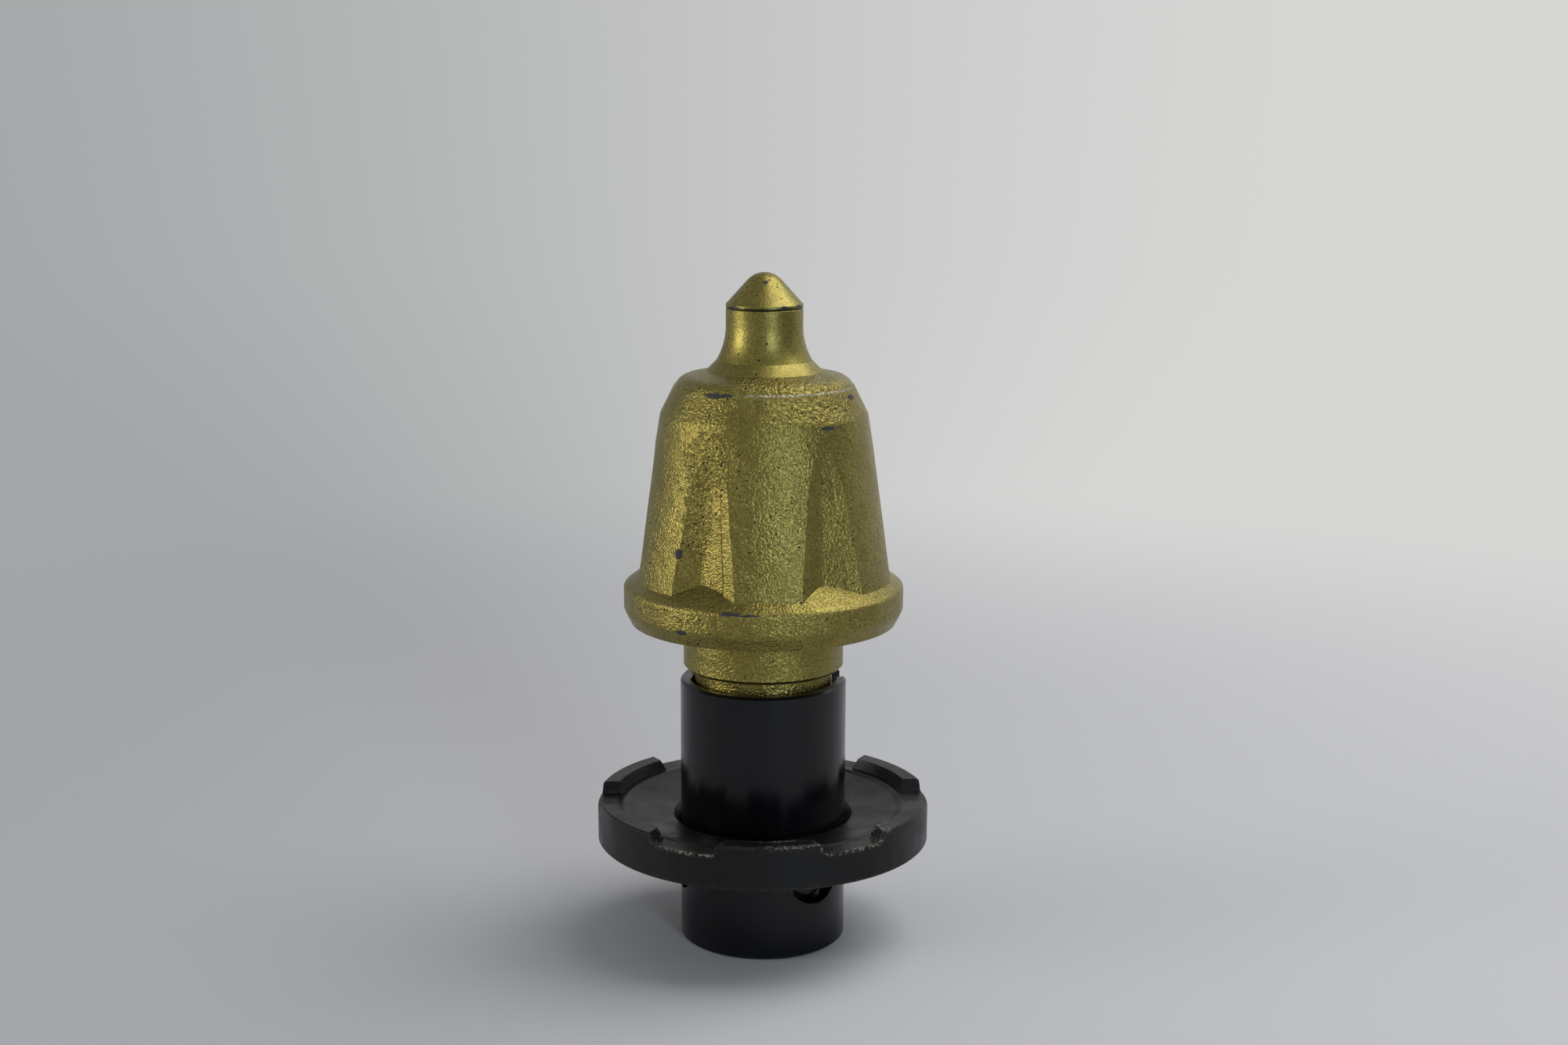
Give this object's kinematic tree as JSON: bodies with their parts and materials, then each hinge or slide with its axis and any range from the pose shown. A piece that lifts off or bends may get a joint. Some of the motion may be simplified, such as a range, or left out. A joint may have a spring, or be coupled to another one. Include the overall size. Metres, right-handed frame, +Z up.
{
  "type": "road milling pick",
  "caption": "Rotary road milling pick: forged fluted body with a brazed carbide tip, split clamping sleeve on the shank and a dished wear washer.",
  "frame": {"origin": "centre of the standing end: the pick's axis where it meets the plane of the shank end and the sleeve end", "axes": "+Z up along the pick's axis towards the point; +X to the right and -Y towards the viewer, with a washer lug at the front"},
  "size_m": [0.0402, 0.0402, 0.0811],
  "materials": {
    "gold_paint_forging": "metallic gold paint over a rough forged skin",
    "gold_paint_tip": "metallic gold paint over smooth carbide",
    "braze": "braze filler painted over in gold",
    "black_spring_steel": "blackened spring steel, satin",
    "black_washer_steel": "black finished steel, rubbed at the front edge"
  },
  "bodies": {
    "sleeve": {"clamping_sleeve": "black_spring_steel"},
    "pick": {"pick_body": "gold_paint_forging", "carbide_tip": "gold_paint_tip", "braze_joint": "braze"},
    "washer": {"wear_washer": "black_washer_steel"}
  },
  "joints": [
    {"name": "pick_spin", "type": "hinge", "parent": "sleeve", "child": "pick", "pos_m": [0, 0, 0], "axis": [0, 0, 1], "continuous": true},
    {"name": "washer_slide", "type": "slide", "parent": "sleeve", "child": "washer", "axis": [0, 0, 1], "range_m": [0, 0.0232]}
  ]
}
